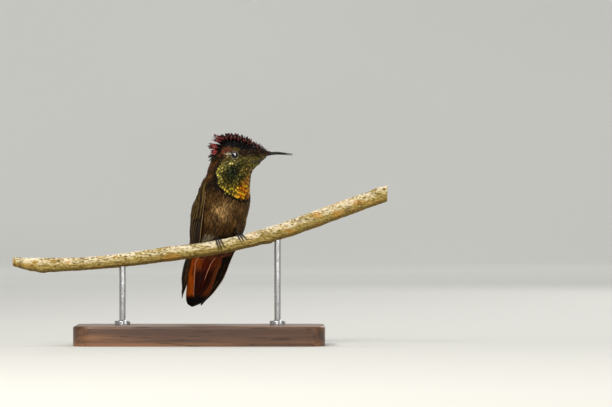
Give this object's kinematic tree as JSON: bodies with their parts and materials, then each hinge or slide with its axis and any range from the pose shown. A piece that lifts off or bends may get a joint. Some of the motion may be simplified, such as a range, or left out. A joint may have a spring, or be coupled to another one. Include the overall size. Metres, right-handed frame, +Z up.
{
  "type": "perched hummingbird model",
  "caption": "Life-size crested hummingbird gripping a cut length of twig, held over a flat base by slim rods.",
  "frame": {"origin": "centre of the base's underside", "axes": "+X along the twig, the way the bill points; +Y towards the bird's back; +Z up"},
  "size_m": [0.15, 0.058, 0.0853],
  "materials": {
    "crest": "dark wine-red feathers with a red sheen at the tips",
    "head": "small scale-like feathers, dark olive with a green-gold sheen",
    "neck": "scale-like throat feathers, olive gold turning to orange, with a metallic sheen",
    "body": "soft brown contour feathers with paler tips",
    "wing": "dusky flight feathers with bronze-brown coverts",
    "tail": "rufous tail feathers, maroon between and black at the tips",
    "bill": "smooth black horn",
    "eye": "wet black eye",
    "foot": "dark scaly skin",
    "claw": "smooth black horn",
    "bark": "pale khaki bark with brown specks",
    "walnut": "oiled dark wood",
    "steel": "brushed rod with a small round foot"
  },
  "bodies": {
    "root": {"head": "head", "eye_right": "eye", "eye_left": "eye", "bill_upper": "bill", "bill_lower": "bill", "crest": "crest", "neck": "neck", "trunk": "body", "tail_coverts": "body", "wing_right_coverts": "wing", "wing_right_secondaries": "wing", "wing_right_primaries": "wing", "wing_left_coverts": "wing", "wing_left_secondaries": "wing", "wing_left_primaries": "wing", "tail": "tail", "tarsus_right": "foot", "thigh_right": "body", "toe_right_outer": "foot", "claw_right_outer": "claw", "toe_right_middle": "foot", "claw_right_middle": "claw", "toe_right_inner": "foot", "claw_right_inner": "claw", "toe_right_hind": "foot", "claw_right_hind": "claw", "tarsus_left": "foot", "thigh_left": "body", "toe_left_outer": "foot", "claw_left_outer": "claw", "toe_left_middle": "foot", "claw_left_middle": "claw", "toe_left_inner": "foot", "claw_left_inner": "claw", "toe_left_hind": "foot", "claw_left_hind": "claw", "perch": "bark", "stand_base": "walnut", "stand_rod_left": "steel", "stand_rod_right": "steel"}
  },
  "joints": []
}
